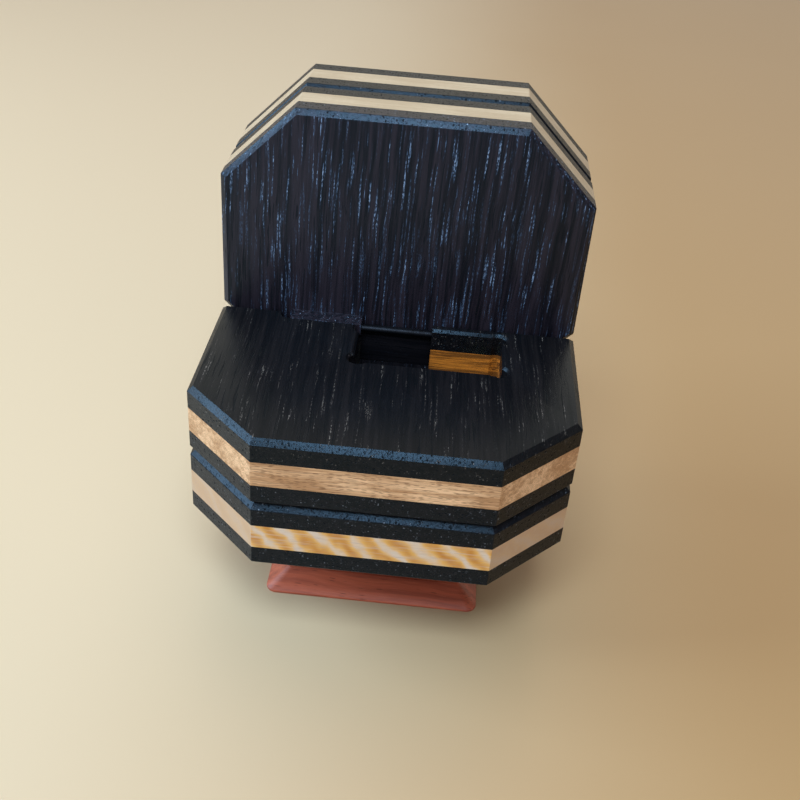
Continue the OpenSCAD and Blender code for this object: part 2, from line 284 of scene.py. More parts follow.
# -------------------------------------------------------------------- finishes


class Grain(Enum):
    """The axis that a board's fibres run along, as the box stands at rest."""

    ACROSS = 0
    DEPTH = 1
    UPRIGHT = 2

    def stretch(self, across: float, along: float) -> Colour:
        """Returns a pattern's scale for each axis.

        Args:
            across: Repeats per millimetre across the fibres.
            along: Repeats per millimetre along them.
        """
        return tuple(along if axis == self.value else across for axis in range(3))


@dataclass(frozen=True)
class Wenge:
    """Near-black open-pored wood with beaded streaks whose colour is partly real pale pores and partly
    painted reflection, dotted with painted highlights.
    """

    name: str
    grain: Grain
    shift: Colour
    turn: Colour = (0.0, 0.0, 0.0)
    dark: Colour = (0.0030, 0.0026, 0.0036)
    brown: Colour = (0.0080, 0.0062, 0.0075)
    # The streak colour is partly the pores' own pale colour and partly painted reflection; the colour
    # after it is a painted highlight.
    fleck: Colour = (0.050, 0.060, 0.085)
    painted_highlight: Colour = (0.26, 0.28, 0.33)
    fleck_share: float = 0.8
    painted_highlight_share: float = 0.5
    roughness: float = 0.30
    index: float = 1.32
    gloss_tint: Colour = (0.48, 0.74, 1.0)

    def material(self) -> bpy.types.Material:
        """Builds the material and returns it."""
        g = Graph.of(self.name)
        at = g.millimetres(self.shift, self.turn)
        at = g.wander(at, self.grain.stretch(0.05, 0.03), 2.2)
        cut = g.cut(self.grain).step(0.15, 0.5)

        bands = g.noise(at, self.grain.stretch(0.75, 0.02), 4.0, 0.6)
        fibres = g.noise(at, self.grain.stretch(7.0, 0.12), 2.0)
        columns = g.noise(at, self.grain.stretch(1.9, 0.070), 2.0)
        beads = g.noise(at, self.grain.stretch(4.0, 1.3), 2.0).step(0.46, 0.62)
        crowd = g.noise(at, self.grain.stretch(0.30, 0.05), 3.0, 0.6).step(0.42, 0.62)

        lines = columns.step(0.55, 0.66) * (0.15 + beads * 0.85)
        streaks = lines * (0.30 + crowd * 0.70)
        # Painted highlight: bright beads along the crowded streaks.
        highlight_sparks = columns.step(0.61, 0.70) * beads * crowd
        cracks = columns.step(0.40, 0.34)

        middle, chance = g.cells(at, self.grain.stretch(1.3, 0.40))
        pits = middle.step(0.32, 0.18) * chance.step(0.40, 0.60) * cut
        # Painted highlight: bright dots on faces that cut across the fibres.
        highlight_specks = middle.step(0.26, 0.10) * chance.step(0.16, 0.06) * cut

        hollow = tuple(c * 0.4 for c in self.dark)
        wood = g.mix(bands.step(0.35, 0.68), self.dark, self.brown)
        wood = g.mix(fibres.step(0.55, 0.75) * 0.5, wood, self.brown)
        # Painted light: the streaks take a colour that is partly painted reflection, then painted
        # highlights are mixed in.
        colour = g.mix(streaks * (1.0 - cut * 0.85) * self.fleck_share, wood, self.fleck)
        colour = g.mix(highlight_sparks * self.painted_highlight_share, colour, self.painted_highlight)
        colour = g.mix(pits * 0.8, colour, hollow)
        colour = g.mix(cracks * 0.8, colour, hollow)
        # Painted highlight dots on cut faces.
        colour = g.mix(highlight_specks * self.painted_highlight_share, colour, self.painted_highlight)

        rough = self.roughness + fibres * 0.10 + cracks * 0.15 + pits * 0.45
        relief = fibres * 0.3 + bands * 0.2 - lines * (0.4 + cut * 0.6) - pits * 1.5 - cracks * 0.5
        return g.surface(
            {
                "Base Color": colour,
                "Roughness": rough,
                "Normal": g.bump(relief, 0.06 * MM, 0.8),
                "IOR": self.index,
                "Specular Tint": (*self.gloss_tint, 1.0),
            }
        )


@dataclass(frozen=True)
class FlatSawn:
    """Pale close-grained wood with short darker flecks along its fibres.

    When a pocket colour is given, the pocket walls within the given X and Y bounds get painted shade: a
    near-black painted shadow up to a given X, and beyond it a darker colour with grain streaks, painted
    shade of the recess.
    """

    name: str
    grain: Grain
    shift: Colour
    light: Colour
    deep: Colour
    fleck: Colour
    fleck_share: float = 0.5
    streak_share: float = 0.5
    pocket_shade: Colour | None = None
    pocket_shade_low: tuple[float, float] = (0.0, 0.0)
    pocket_shade_high: tuple[float, float] = (0.0, 0.0)
    black_shade_until: float = 0.0
    # Near-black painted shadow for the deep left part of the pocket.
    black_shade: Colour = (0.004, 0.0035, 0.003)
    roughness: float = 0.46

    def material(self) -> bpy.types.Material:
        """Builds the material and returns it."""
        g = Graph.of(self.name)
        at = g.millimetres(self.shift, (0.0, 0.6, 0.8))
        side, depth, _ = g.split(g.millimetres())
        at = g.wander(at, self.grain.stretch(0.08, 0.04), 1.4)

        bands = g.noise(at, self.grain.stretch(0.9, 0.03), 4.0, 0.65)
        fibres = g.noise(at, self.grain.stretch(7.0, 0.14), 3.0)
        cloud = g.noise(at, self.grain.stretch(0.16, 0.08), 2.0)
        distance, chance = g.cells(at, self.grain.stretch(3.4, 0.55))
        flecks = distance.step(0.46, 0.24) * chance.step(0.25, 0.55)

        tone = bands * 0.6 + cloud * 0.4
        wood = g.mix(tone.step(0.38, 0.62), self.light, self.deep)
        wood = g.mix(fibres.step(0.50, 0.60) * self.streak_share, wood, self.fleck)
        plain = g.cut(self.grain).step(0.15, 0.5)
        colour = g.mix(flecks * self.fleck_share * (1.0 - plain * 0.7), wood, self.fleck)
        # Painted shade: the pocket walls are darkened, near black where the recess lies in deep shadow.
        if self.pocket_shade is not None:
            shaded_wall = g.mix(bands.step(0.40, 0.56), self.pocket_shade, tuple(c * 0.30 for c in self.pocket_shade))
            shaded_wall = g.mix(fibres.step(0.50, 0.62) * 0.7, shaded_wall, tuple(c * 0.2 for c in self.pocket_shade))
            edge = self.black_shade_until / MM
            shaded_wall = g.mix(side.step(edge - 0.4, edge + 0.4), self.black_shade, shaded_wall)
            in_pocket_shade = 1.0
            for along, low, high in zip((side, depth), self.pocket_shade_low, self.pocket_shade_high):
                low, high = low / MM, high / MM
                in_pocket_shade = along.step(low - 0.4, low) * along.step(high + 0.4, high) * in_pocket_shade
            colour = g.mix(in_pocket_shade, colour, shaded_wall)

        relief = fibres * 0.5 - flecks * 0.4
        return g.surface(
            {
                "Base Color": colour,
                "Roughness": self.roughness + fibres * 0.12 + flecks * 0.08,
                "Normal": g.bump(relief, 0.03 * MM, 0.7),
            }
        )


@dataclass(frozen=True)
class Flamed:
    """Golden wood with slanting pale and orange flames across its fibres."""

    name: str
    grain: Grain
    shift: Colour
    pale: Colour = (0.70, 0.55, 0.44)
    gold: Colour = (0.76, 0.41, 0.11)
    amber: Colour = (0.56, 0.22, 0.030)
    mauve: Colour = (0.42, 0.31, 0.30)
    plain: Colour = (0.52, 0.34, 0.215)
    spacing: float = 7.4
    slant: float = 0.8

    def material(self) -> bpy.types.Material:
        """Builds the material and returns it."""
        g = Graph.of(self.name)
        at = g.millimetres(self.shift)
        x, _, z = g.split(at)
        warp = g.noise(at, (0.14, 0.10, 0.10), 2.0)
        phase = (x + z * self.slant + warp * 9.0) * (2 * math.pi / self.spacing)
        flame = phase.sine() * 0.5 + 0.5
        patch = g.noise(at, (0.25, 0.16, 0.50), 3.0)
        fibres = g.noise(at, self.grain.stretch(6.5, 0.22), 3.0)
        bands = g.noise(at, self.grain.stretch(1.2, 0.05), 3.0)

        glow = flame * 0.52 + patch * 0.48
        colour = g.ramp(
            glow,
            [(0.20, self.pale), (0.46, self.gold), (0.84, self.amber)],
        )
        colour = g.mix(bands.step(0.50, 0.66) * 0.45, colour, self.pale)
        colour = g.mix(g.cut(self.grain).step(0.15, 0.5) * 0.85, colour, self.plain)
        colour = g.mix(fibres.step(0.52, 0.70) * 0.60, colour, self.mauve)
        return g.surface(
            {
                "Base Color": colour,
                "Roughness": 0.40 + fibres * 0.14,
                "Normal": g.bump(fibres * 0.6 + flame * 0.4, 0.03 * MM, 0.7),
            }
        )


@dataclass(frozen=True)
class Padauk:
    """Red-brown wood with long darker streaks and short open pores."""

    name: str
    grain: Grain
    shift: Colour
    red: Colour = (0.56, 0.120, 0.056)
    deep: Colour = (0.36, 0.070, 0.035)
    bloom: Colour = (0.68, 0.20, 0.115)

    def material(self) -> bpy.types.Material:
        """Builds the material and returns it."""
        g = Graph.of(self.name)
        at = g.millimetres(self.shift, (0.0, 1.0, 1.5))
        at = g.wander(at, self.grain.stretch(0.06, 0.03), 3.0)
        bands = g.noise(at, self.grain.stretch(0.6, 0.03), 4.0, 0.6)
        fibres = g.noise(at, self.grain.stretch(5.0, 0.20), 3.0)
        distance, chance = g.cells(at, self.grain.stretch(1.6, 0.22))
        pores = distance.step(0.26, 0.14) * chance.step(0.40, 0.70)

        colour = g.mix(bands.step(0.34, 0.66), self.red, self.deep)
        colour = g.mix(fibres.step(0.50, 0.80) * 0.45, colour, self.bloom)
        colour = g.mix(pores * 0.55, colour, tuple(c * 0.35 for c in self.deep))
        return g.surface(
            {
                "Base Color": colour,
                "Roughness": 0.40 + fibres * 0.14,
                "Normal": g.bump(fibres * 0.4 - pores, 0.04 * MM, 0.7),
            }
        )


@dataclass(frozen=True)
class TurnedMetal:
    """Metal turned on a lathe or drawn through a die, with fine rings and light wear."""

    name: str
    bright: Colour
    dull: Colour
    roughness: float
    rings: float = 9.0

    def material(self) -> bpy.types.Material:
        """Builds the material and returns it."""
        g = Graph.of(self.name)
        at = g.millimetres()
        wear = g.noise(at, (0.5, 0.5, 0.5), 5.0, 0.65)
        rings = g.noise(at, (self.rings, self.rings, self.rings), 2.0)
        return g.surface(
            {
                "Base Color": g.mix(wear.step(0.40, 0.70), self.bright, self.dull),
                "Metallic": 1.0,
                "Roughness": self.roughness + wear * 0.16,
                "Normal": g.bump(rings, 0.01 * MM, 0.5),
            }
        )


@dataclass(frozen=True)
class Baize:
    """Short-napped cloth with a fine twill showing through the nap."""

    name: str
    base: Colour = (0.23, 0.020, 0.030)
    nap: Colour = (0.38, 0.060, 0.070)

    def material(self) -> bpy.types.Material:
        """Builds the material and returns it."""
        g = Graph.of(self.name)
        at = g.millimetres()
        x, y, _ = g.split(at)
        twill = ((x + y) * 9.0).sine() * 0.5 + 0.5
        fuzz = g.noise(at, (5.0, 5.0, 5.0), 4.0, 0.7)
        worn = g.noise(at, (0.12, 0.12, 0.12), 3.0)
        colour = g.mix(fuzz.step(0.30, 0.75), self.base, self.nap)
        colour = g.mix(worn.step(0.45, 0.75) * 0.3, colour, self.nap)
        return g.surface(
            {
                "Base Color": colour,
                "Roughness": 0.86 + twill * 0.08,
                "Sheen Weight": 0.45,
                "Sheen Roughness": 0.5,
                "Normal": g.bump(fuzz * 0.7 + twill * 0.3, 0.10 * MM, 0.8),
            }
        )


@dataclass(frozen=True)
class PaleFloor:
    """Plain pale satin floor with a painted shadow pool, darker and warmer towards the right of the box
    and back to plain tone far away.
    """

    name: str = "pale_floor"
    tone: Colour = (0.60, 0.46, 0.31)
    # Colour of the painted shade on the right.
    warm: Colour = (0.40, 0.235, 0.105)
    shade_span: tuple[float, float] = (-90.0, 110.0)
    fade_span: tuple[float, float] = (900.0, 300.0)

    def material(self) -> bpy.types.Material:
        """Builds the material and returns it."""
        g = Graph.of(self.name)
        at = g.millimetres()
        x, _, _ = g.split(at)
        cloud = g.noise(at, (0.006, 0.006, 0.006), 2.0)
        place = x + cloud * 30.0 - 15.0
        # Painted shade: the floor darkens to the right, where the box shades it from the window, then
        # fades out.
        shade_amount = place.step(*self.shade_span) * place.step(*self.fade_span)
        tone = g.mix(shade_amount, self.tone, self.warm)
        return g.surface({"Base Color": tone, "Roughness": 0.32 + cloud * 0.05})


# ---------------------------------------------------------------- mesh making


@dataclass(frozen=True)
class GluePlane:
    """A plane where one ply is glued to the next, so edges in it stay sharp."""

    axis: int
    place: float
    reach: float = 0.01 * MM

    def holds(self, edge: bmesh.types.BMEdge) -> bool:
        """Returns whether both ends of the edge lie in the plane."""
        return all(abs(v.co[self.axis] - self.place) < self.reach for v in edge.verts)


def object_from(bm: bmesh.types.BMesh, name: str) -> bpy.types.Object:
    """Turns a bmesh into an object in the scene and frees it."""
    mesh = bpy.data.meshes.new(name)
    bm.to_mesh(mesh)
    bm.free()
    made = bpy.data.objects.new(name, mesh)
    bpy.context.scene.collection.objects.link(made)
    return made


def softened(
    node: str,
    name: str,
    radius: float,
    glued: Sequence[GluePlane] = (),
    sharp_angle: float = 25.0,
    segments: int = 2,
) -> bpy.types.Object:
    """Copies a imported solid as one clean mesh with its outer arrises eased.

    Args:
        node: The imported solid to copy.
        name: Name of the new piece.
        radius: How far an eased arris reaches on each side.
        glued: Planes whose edges stay sharp.
        sharp_angle: Least angle in degrees between two faces that counts as an arris.
        segments: Number of faces across an eased arris.

    Returns:
        The new object, at the origin.
    """
    bm = bmesh.new()
    bm.from_mesh(bpy.data.objects[node].data)
    bmesh.ops.remove_doubles(bm, verts=bm.verts, dist=0.001 * MM)
    flat = math.radians(0.5)
    bmesh.ops.dissolve_limit(bm, angle_limit=flat, verts=bm.verts, edges=bm.edges)
    limit = math.radians(sharp_angle)
    arrises = [
        e
        for e in bm.edges
        if e.is_manifold and e.calc_face_angle(0.0) > limit and not any(p.holds(e) for p in glued)
    ]
    if arrises and radius > 0:
        bmesh.ops.bevel(
            bm,
            geom=arrises,
            offset=radius,
            offset_type="OFFSET",
            segments=segments,
            profile=0.5,
            affect="EDGES",
            clamp_overlap=True,
        )
    bmesh.ops.triangulate(bm, faces=[f for f in bm.faces if len(f.verts) > 4])
    return object_from(bm, name)


def lathe(
    name: str, profile: Sequence[tuple[float, float]], axis: Vector, foot: Vector, sides: int = 48
) -> bpy.types.Object:
    """Turns a profile about an axis into a closed solid.

    Args:
        name: Name of the new piece.
        profile: (radius, height) points from the bottom of the axis to its top.
        axis: Direction of the axis.
        foot: Where height 0 lies.
        sides: Number of faces round the axis.

    Returns:
        The new object, at the origin.
    """
    bm = bmesh.new()
    place = Matrix.Translation(foot) @ axis.to_track_quat("Z", "Y").to_matrix().to_4x4()
    rings: list[list[bmesh.types.BMVert]] = []
    for radius, height in profile:
        count = sides if radius > 0 else 1
        rings.append(
            [
                bm.verts.new(
                    place
                    @ Vector(
                        (
                            radius * math.cos(2 * math.pi * i / sides),
                            radius * math.sin(2 * math.pi * i / sides),
                            height,
                        )
                    )
                )
                for i in range(count)
            ]
        )
    for low, high in zip(rings, rings[1:]):
        for i in range(sides):
            j = (i + 1) % sides
            corners = [low[i % len(low)], low[j % len(low)], high[j % len(high)], high[i % len(high)]]
            corners = list(dict.fromkeys(corners))
            if len(corners) > 2:
                bm.faces.new(corners)
    bmesh.ops.recalc_face_normals(bm, faces=bm.faces)
    return object_from(bm, name)


def dress(
    piece: bpy.types.Object,
    material: bpy.types.Material,
    body: str,
    stands_for: Iterable[str] = (),
    smooth: float = 30.0,
) -> bpy.types.Object:
    """Gives a piece its finish and ties it to the frame.

    Args:
        piece: The finished object.
        material: Its finish.
        body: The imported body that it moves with.
        stands_for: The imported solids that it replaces.
        smooth: Angle in degrees under which neighbouring faces are shaded as one.

    Returns:
        The same object.
    """
    piece.data.materials.clear()
    piece.data.materials.append(material)
    piece.data.shade_smooth()
    piece.data.set_sharp_from_angle(angle=math.radians(smooth))
    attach(piece, body)
    for node in stands_for:
        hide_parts(node)
    log.info("%s rides on %s, %d faces", piece.name, body, len(piece.data.polygons))
    return piece


class PartRow:
    """Geometry Nodes tree that sets copies of one part on a flat grid of places."""

    INPUTS = (
        ("Part", "NodeSocketObject"),
        ("Columns", "NodeSocketInt"),
        ("Rows", "NodeSocketInt"),
        ("Width", "NodeSocketFloat"),
        ("Depth", "NodeSocketFloat"),
        ("Middle", "NodeSocketVector"),
        ("Finish", "NodeSocketMaterial"),
    )

    def __init__(self) -> None:
        """Builds the tree once for every row of parts."""
        self.tree = bpy.data.node_groups.new("part_row", "GeometryNodeTree")
        face = self.tree.interface
        for label, kind in self.INPUTS:
            face.new_socket(name=label, in_out="INPUT", socket_type=kind)
        face.new_socket(name="Geometry", in_out="OUTPUT", socket_type="NodeSocketGeometry")
        nodes, links = self.tree.nodes, self.tree.links
        given = nodes.new("NodeGroupInput").outputs
        grid = nodes.new("GeometryNodeMeshGrid")
        place = nodes.new("GeometryNodeTransform")
        part = nodes.new("GeometryNodeObjectInfo")
        copies = nodes.new("GeometryNodeInstanceOnPoints")
        real = nodes.new("GeometryNodeRealizeInstances")
        finish = nodes.new("GeometryNodeSetMaterial")
        result = nodes.new("NodeGroupOutput")
        for source, target in (
            (given["Width"], grid.inputs["Size X"]),
            (given["Depth"], grid.inputs["Size Y"]),
            (given["Columns"], grid.inputs["Vertices X"]),
            (given["Rows"], grid.inputs["Vertices Y"]),
            (grid.outputs["Mesh"], place.inputs["Geometry"]),
            (given["Middle"], place.inputs["Translation"]),
            (place.outputs["Geometry"], copies.inputs["Points"]),
            (given["Part"], part.inputs["Object"]),
            (part.outputs["Geometry"], copies.inputs["Instance"]),
            (copies.outputs["Instances"], real.inputs["Geometry"]),
            (real.outputs["Geometry"], finish.inputs["Geometry"]),
            (given["Finish"], finish.inputs["Material"]),
            (finish.outputs["Geometry"], result.inputs["Geometry"]),
        ):
            links.new(source, target)

    def build(
        self,
        name: str,
        part: bpy.types.Object,
        columns: int,
        rows: int,
        width: float,
        depth: float,
        middle: Vector,
        finish: bpy.types.Material,
    ) -> bpy.types.Object:
        """Makes the copies as one plain mesh and removes the pattern part.

        Args:
            name: Name of the new piece.
            part: The part to copy, drawn at the origin.
            columns: Number of copies along X.
            rows: Number of copies along Y.
            width: Distance from the first column to the last.
            depth: Distance from the first row to the last.
            middle: Middle of the grid.
            finish: Material of the copies.

        Returns:
            The new object, at the origin.
        """
        host = bpy.data.objects.new(name + "_host", bpy.data.meshes.new(name + "_host"))
        bpy.context.scene.collection.objects.link(host)
        modifier = host.modifiers.new("row", "NODES")
        modifier.node_group = self.tree
        given = {
            "Part": part,
            "Columns": columns,
            "Rows": rows,
            "Width": width,
            "Depth": depth,
            "Middle": tuple(middle),
            "Finish": finish,
        }
        for item in self.tree.interface.items_tree:
            if item.in_out == "INPUT":
                modifier[item.identifier] = given[item.name]
        depsgraph = bpy.context.evaluated_depsgraph_get()
        mesh = bpy.data.meshes.new_from_object(host.evaluated_get(depsgraph))
        mesh.name = name
        made = bpy.data.objects.new(name, mesh)
        bpy.context.scene.collection.objects.link(made)
        bpy.data.objects.remove(host)
        bpy.data.objects.remove(part)
        return made


# ------------------------------------------------------------------ the object


@dataclass
class Palette:
    """Every finish of the box, built once."""

    seat_wenge: bpy.types.Material = field(init=False)
    body_wenge: bpy.types.Material = field(init=False)
    lid_wenge: bpy.types.Material = field(init=False)
    back_wenge: bpy.types.Material = field(init=False)
    flecked: bpy.types.Material = field(init=False)
    flamed: bpy.types.Material = field(init=False)
    cream: bpy.types.Material = field(init=False)
    beech: bpy.types.Material = field(init=False)
    padauk: bpy.types.Material = field(init=False)
    brass: bpy.types.Material = field(init=False)
    blued: bpy.types.Material = field(init=False)
    nickel: bpy.types.Material = field(init=False)
    baize: bpy.types.Material = field(init=False)
    pocket_shade_wenge: bpy.types.Material = field(init=False)

    def __post_init__(self) -> None:
        """Builds the materials."""
        cover_low, cover_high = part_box("gap_cover")
        pocket_left, pocket_right = cover_low.x - 3 * MM, 30 * MM
        pocket_front, pocket_back = cover_high.y - 24 * MM, cover_low.y + 0.2 * MM
        self.seat_wenge = Wenge(
            "seat_wenge",
            Grain.DEPTH,
            (3.0, 11.0, 5.0),
            turn=(0.0, 0.0, -2.0),
            dark=(0.0028, 0.0025, 0.0032),
            brown=(0.0080, 0.0064, 0.0070),
            fleck=(0.032, 0.027, 0.027),
            # A painted highlight colour.
            painted_highlight=(0.26, 0.22, 0.19),
            fleck_share=0.55,
            painted_highlight_share=0.45,
        ).material()
        self.body_wenge = Wenge(
            "body_wenge", Grain.DEPTH, (41.0, 7.0, 23.0)
        ).material()
        self.lid_wenge = Wenge(
            "lid_wenge",
            Grain.UPRIGHT,
            (17.0, 29.0, 2.0),
            turn=(0.0, -1.5, 0.0),
            dark=(0.0058, 0.0046, 0.0070),
            brown=(0.0230, 0.0165, 0.0225),
            # Blue streak colour: a painted reflection of the window on the pores; the next colour is a
            # painted highlight.
            fleck=(0.085, 0.150, 0.265),
            painted_highlight=(0.40, 0.50, 0.68),
            fleck_share=0.9,
            painted_highlight_share=0.55,
            index=1.37,
        ).material()
        self.back_wenge = Wenge("back_wenge", Grain.UPRIGHT, (63.0, 5.0, 31.0)).material()
        self.flecked = FlatSawn(
            "flecked_cherry",
            Grain.ACROSS,
            (9.0, 3.0, 4.0),
            light=(0.86, 0.53, 0.30),
            deep=(0.48, 0.245, 0.112),
            fleck=(0.21, 0.098, 0.042),
            fleck_share=0.8,
            streak_share=0.6,
            # Painted shade inside the pocket: a darker wall colour, near black left of the gap cover's
            # right edge.
            pocket_shade=(0.70, 0.21, 0.020),
            pocket_shade_low=(pocket_left, pocket_front),
            pocket_shade_high=(pocket_right, pocket_back),
            black_shade_until=cover_high.x,
        ).material()
        self.flamed = Flamed("flamed_gold", Grain.ACROSS, (5.0, 0.0, 2.0)).material()
        self.cream = FlatSawn(
            "cream_maple",
            Grain.ACROSS,
            (21.0, 13.0, 8.0),
            light=(0.50, 0.375, 0.25),
            deep=(0.42, 0.30, 0.19),
            fleck=(0.32, 0.215, 0.125),
            fleck_share=0.18,
            streak_share=0.3,
        ).material()
        self.beech = FlatSawn(
            "plain_beech",
            Grain.UPRIGHT,
            (2.0, 6.0, 1.0),
            light=(0.66, 0.47, 0.28),
            deep=(0.52, 0.34, 0.18),
            fleck=(0.34, 0.19, 0.09),
        ).material()
        # Darker, matt wenge for the gap cover: painted shade at the back of the pocket.
        self.pocket_shade_wenge = Wenge(
            "pocket_shade_strip",
            Grain.ACROSS,
            (8.0, 2.0, 51.0),
            fleck_share=0.1,
            painted_highlight_share=0.0,
            roughness=0.55,
            index=1.2,
        ).material()
        self.padauk = Padauk("padauk", Grain.ACROSS, (12.0, 4.0, 6.0)).material()
        self.brass = TurnedMetal(
            "turned_brass", (0.80, 0.58, 0.24), (0.55, 0.36, 0.14), 0.24
        ).material()
        self.blued = TurnedMetal(
            "blued_steel", (0.022, 0.024, 0.030), (0.012, 0.011, 0.012), 0.50
        ).material()
        self.nickel = TurnedMetal(
            "nickel_plate", (0.72, 0.70, 0.67), (0.55, 0.53, 0.50), 0.18
        ).material()
        self.baize = Baize("red_baize").material()


@dataclass
class Slab:
    """One slab of the box: two bevelled panels of dark, pale and dark ply.

    The plies are named in order from one outer face of the slab to the other.
    """

    body: str
    axis: int
    plies: Sequence[tuple[str, str, bpy.types.Material]]
    arris: float = 0.10 * MM

    def _glue_planes(self) -> list[GluePlane]:
        """Returns the planes between neighbouring plies."""
        boxes = [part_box(node) for node, _, _ in self.plies]
        planes = []
        for first, second in zip(boxes, boxes[1:]):
            low = max(first[0][self.axis], second[0][self.axis])
            planes.append(GluePlane(self.axis, low))
        return planes

    def build(self) -> None:
        """Makes every ply as a piece of its own."""
        glued = self._glue_planes()
        for node, slot, material in self.plies:
            piece = softened(node, node + "_board", self.arris, glued)
            dress(piece, material, self.body, [node], smooth=13.0)


@dataclass
class Foot:
    """The bevelled foot, the neck under the body and the screws through both."""

    palette: Palette
    rows: PartRow
    arris: float = 0.15 * MM
    thread_pitch: float = 1.1 * MM
    thread_rise: float = 0.25 * MM
    slot_half: float = 0.4 * MM
    slot_depth: float = 0.8 * MM
    head_radius: float = 3.0 * MM
    head_depth: float = 1.8 * MM
    shank_radius: float = 1.5 * MM
    core_radius: float = 1.2 * MM
    plain_length: float = 6 * MM
    point_length: float = 2.5 * MM

    def _screw(self) -> bpy.types.Object:
        """Returns one countersunk wood screw at the origin, head down."""
        low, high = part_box("foot_screws")
        crown, tip = low.z, high.z
        slot_floor = crown + self.slot_depth
        neck = crown + self.head_depth
        profile = [(0.0, slot_floor), (self.slot_half, slot_floor), (self.slot_half, crown)]
        profile += [(self.head_radius - 0.15 * MM, crown), (self.head_radius, crown + 0.12 * MM)]
        thread_from = neck + self.plain_length
        profile += [(self.shank_radius, neck), (self.shank_radius, thread_from)]
        thread_length = tip - self.point_length - 0.5 * MM - thread_from
        for i in range(int(thread_length / self.thread_pitch)):
            z = thread_from + i * self.thread_pitch
            profile.append((self.core_radius, z + 0.25 * self.thread_pitch))
            profile.append((self.core_radius + self.thread_rise, z + 0.6 * self.thread_pitch))
        profile += [(self.core_radius, tip - self.point_length), (0.0, tip)]
        return lathe("screw_pattern", profile, Vector((0, 0, 1)), Vector(), 32)

    def build(self) -> None:
        """Makes the foot, the neck and the screws."""
        for node in ("foot_plate", "neck_block"):
            piece = softened(node, node + "_wood", self.arris, sharp_angle=20.0)
            dress(piece, self.palette.padauk, "box", [node], smooth=13.0)
        low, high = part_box("foot_screws")
        middle = Vector(((low.x + high.x) / 2, (low.y + high.y) / 2, 0.0))
        screws = self.rows.build(
            "foot_screw_set",
            self._screw(),
            2,
            2,
            high.x - low.x - 2 * self.head_radius,
            high.y - low.y - 2 * self.head_radius,
            middle,
            self.palette.brass,
        )
        dress(screws, self.palette.brass, "box", ["foot_screws"])


@dataclass
class Hinge:
    """The steel pin, the plugs over its ends and the dark strip behind the gap, which stands where the
    pocket is in shade and is finished as painted shade.
    """

    palette: Palette
    rows: PartRow
    chamfer: float = 0.12 * MM

    def _rod(self, name: str, low: Vector, high: Vector, axis: int) -> bpy.types.Object:
        """Returns a round rod with chamfered ends that fills a box along an axis."""
        across = [i for i in range(3) if i != axis]
        radius = (high[across[0]] - low[across[0]]) / 2
        length = high[axis] - low[axis]
        foot = (low + high) / 2
        foot[axis] = low[axis]
        direction = Vector([1.0 if i == axis else 0.0 for i in range(3)])
        c = self.chamfer
        profile = [(0.0, 0.0), (radius - c, 0.0), (radius, c), (radius, length - c)]
        profile += [(radius - c, length), (0.0, length)]
        return lathe(name, profile, direction, foot)

    def build(self) -> None:
        """Makes the pin, its plugs and the cover strip."""
        pin = self._rod("hinge_pin_rod", *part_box("hinge_pin"), 0)
        dress(pin, self.palette.blued, "box", ["hinge_pin"])
        low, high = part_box("pin_plugs")
        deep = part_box("hinge_pin")[0].x - low.x
        middle = (low + high) / 2
        shape = Vector((deep, high.y - low.y, high.z - low.z)) / 2
        plug = self._rod("plug_pattern", -shape, shape, 0)
        plugs = self.rows.build(
            "pin_plug_pair", plug, 2, 1, high.x - low.x - deep, 0.0, middle, self.palette.body_wenge
        )
        dress(plugs, self.palette.body_wenge, "box", ["pin_plugs"])
        # The cover strip is a dark piece where the pocket lies in shade; its darkened matt finish is
        # painted shade.
        cover = softened("gap_cover", "gap_cover_strip", 0.06 * MM)
        dress(cover, self.palette.pocket_shade_wenge, "box", ["gap_cover"])
        stop = self._rod("tray_stop_rod", *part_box("tray_stop_pin"), 2)
        dress(stop, self.palette.blued, "box", ["tray_stop_pin"])


@dataclass
class Tray:
    """The secret tray at the back and the cloth on its floor."""

    palette: Palette

    def build(self) -> None:
        """Makes the tray and its lining."""
        tray = softened("secret_tray", "secret_tray_wood", 0.18 * MM)
        dress(tray, self.palette.flamed, "tray", ["secret_tray"])
        lining = softened("tray_lining", "tray_lining_cloth", 0.15 * MM, segments=3)
        dress(lining, self.palette.baize, "tray", ["tray_lining"], smooth=60.0)


@dataclass
class Lock:
    """The plate that locks the tray, with its button in the pocket and its peg."""

    palette: Palette
    dome: float = 0.35 * MM
    groove: float = 0.2 * MM
    groove_below: float = 0.75 * MM
    groove_half: float = 0.15 * MM
    dome_steps: int = 8

    def _button(self) -> bpy.types.Object:
        """Returns the button: a stem with a grooved and slightly domed head."""
        low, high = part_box("lock_button")
        radius = (high.x - low.x) / 2
        height = high.z - low.z
        foot = Vector(((low.x + high.x) / 2, (low.y + high.y) / 2, low.z))
        shoulder = height - self.dome
        valley = shoulder - self.groove_below
        profile = [(0.0, 0.0), (radius, 0.0), (radius, valley - self.groove_half)]
        profile += [(radius - self.groove, valley), (radius, valley + self.groove_half)]
        profile.append((radius, shoulder))
        for i in range(1, self.dome_steps + 1):
            a = math.pi / 2 * i / self.dome_steps
            profile.append((radius * math.cos(a), shoulder + self.dome * math.sin(a)))
        profile[-1] = (0.0, height)
        return lathe("lock_button_knob", profile, Vector((0, 0, 1)), foot)

    def build(self) -> None:
        """Makes the plate, the button and the peg."""
        plate = softened("lock_plate", "lock_plate_wood", 0.2 * MM)
        dress(plate, self.palette.beech, "lock", ["lock_plate"])
        dress(self._button(), self.palette.brass, "lock", ["lock_button"])
        peg = softened("lock_peg", "lock_peg_rod", 0.15 * MM)
        dress(peg, self.palette.brass, "lock", ["lock_peg"])


